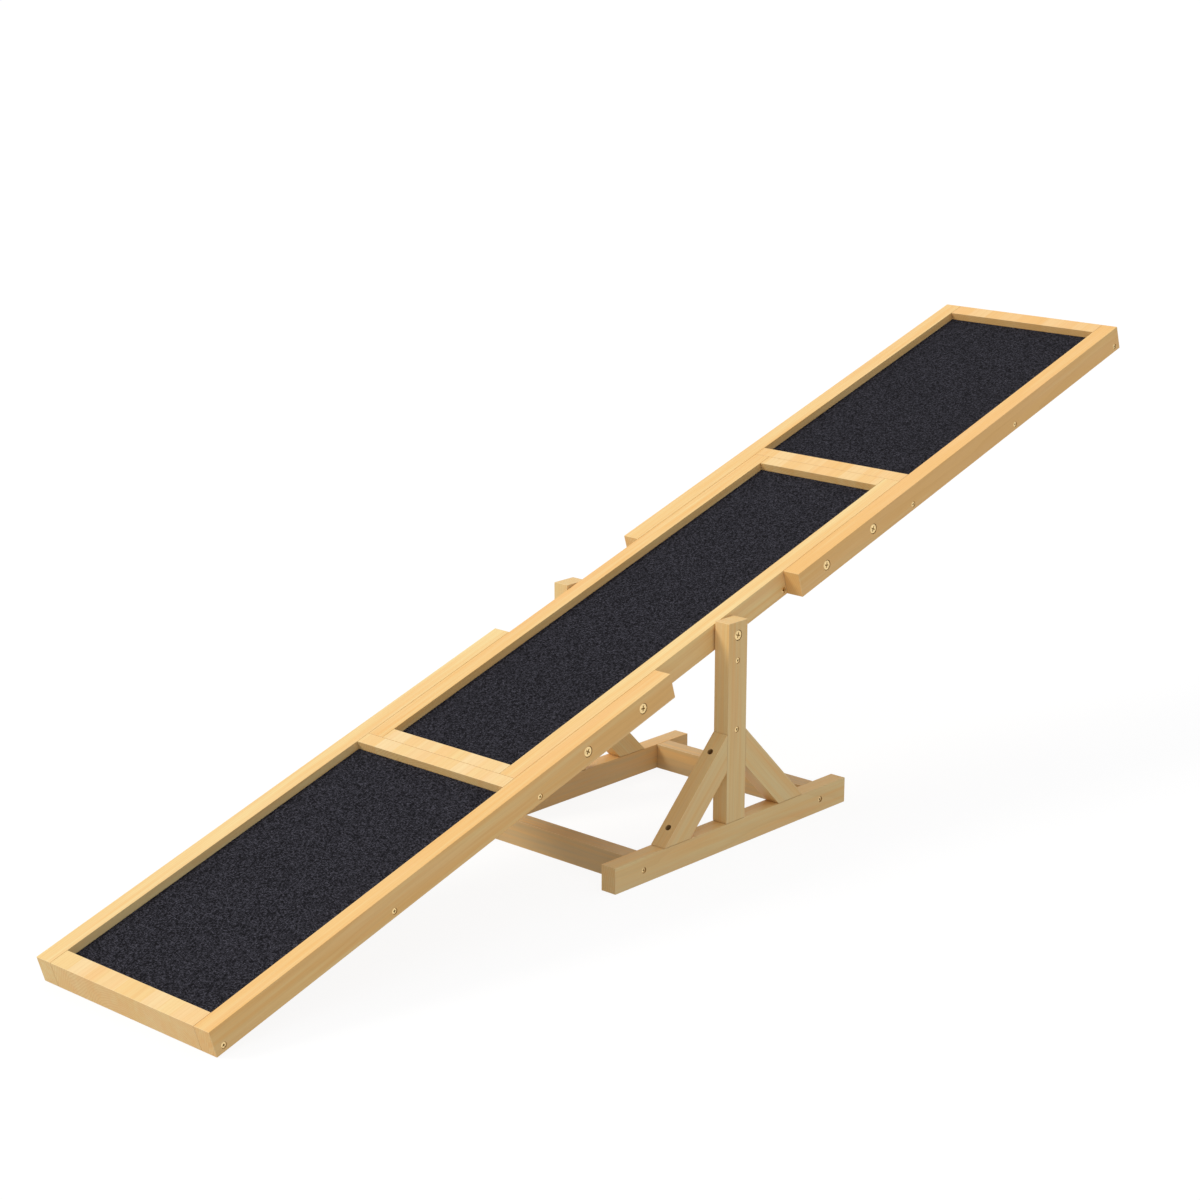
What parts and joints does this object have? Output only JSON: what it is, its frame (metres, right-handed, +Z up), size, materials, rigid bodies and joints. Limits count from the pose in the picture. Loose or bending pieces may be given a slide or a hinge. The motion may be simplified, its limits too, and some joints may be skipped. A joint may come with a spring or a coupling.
{
  "type": "dog agility seesaw",
  "caption": "Low wooden rocking board for dog agility: framed sections with dark grip mats, pivoted between two braced posts on a rectangular floor frame.",
  "frame": {"origin": "on the floor, under the pivot and midway between the two posts", "axes": "+X along the board towards its raised end, +Y to the left of that direction, +Z up"},
  "size_m": [1.7298, 0.3, 0.5639],
  "materials": {
    "timber": "pale honey fir, planed and waxed, satin",
    "plywood": "plain plywood, matt",
    "grip_mat": "charcoal flat-woven grip carpet, glued down, matt",
    "brassed_steel": "yellow plated steel, satin",
    "zinc_steel": "bright zinc plated",
    "dowel": "plain beech dowel"
  },
  "bodies": {
    "base": {"left_runner": "timber", "right_runner": "timber", "low_cross_member": "timber", "high_cross_member": "timber", "left_post": "timber", "right_post": "timber", "left_low_brace": "timber", "left_high_brace": "timber", "right_low_brace": "timber", "right_high_brace": "timber", "pivot_washers": "zinc_steel", "post_screws": "brassed_steel", "post_foot_screws": "brassed_steel", "brace_screws": "brassed_steel", "cross_member_screws": "brassed_steel"},
    "board": {"low_left_side_rail": "timber", "low_right_side_rail": "timber", "low_tip_rail": "timber", "low_inner_rail": "timber", "low_slat": "timber", "low_panel": "plywood", "low_grip_mat": "grip_mat", "high_left_side_rail": "timber", "high_right_side_rail": "timber", "high_tip_rail": "timber", "high_inner_rail": "timber", "high_slat": "timber", "high_panel": "plywood", "high_grip_mat": "grip_mat", "middle_left_side_rail": "timber", "middle_right_side_rail": "timber", "middle_low_end_rail": "timber", "middle_high_end_rail": "timber", "middle_low_slat": "timber", "middle_high_slat": "timber", "middle_panel": "plywood", "middle_grip_mat": "grip_mat", "frame_bolts": "brassed_steel", "frame_insert_nuts": "zinc_steel", "tip_screws": "brassed_steel", "end_slat_screws": "brassed_steel", "joint_screws": "brassed_steel", "middle_slat_screws": "brassed_steel", "inner_rail_dowels": "dowel", "pivot_bolts": "brassed_steel", "pivot_insert_nuts": "zinc_steel"}
  },
  "joints": [
    {"name": "board_pivot", "type": "hinge", "parent": "base", "child": "board", "pos_m": [0, 0, 0.281], "axis": [0, 1, 0], "range_deg": [0, 34.34]}
  ]
}
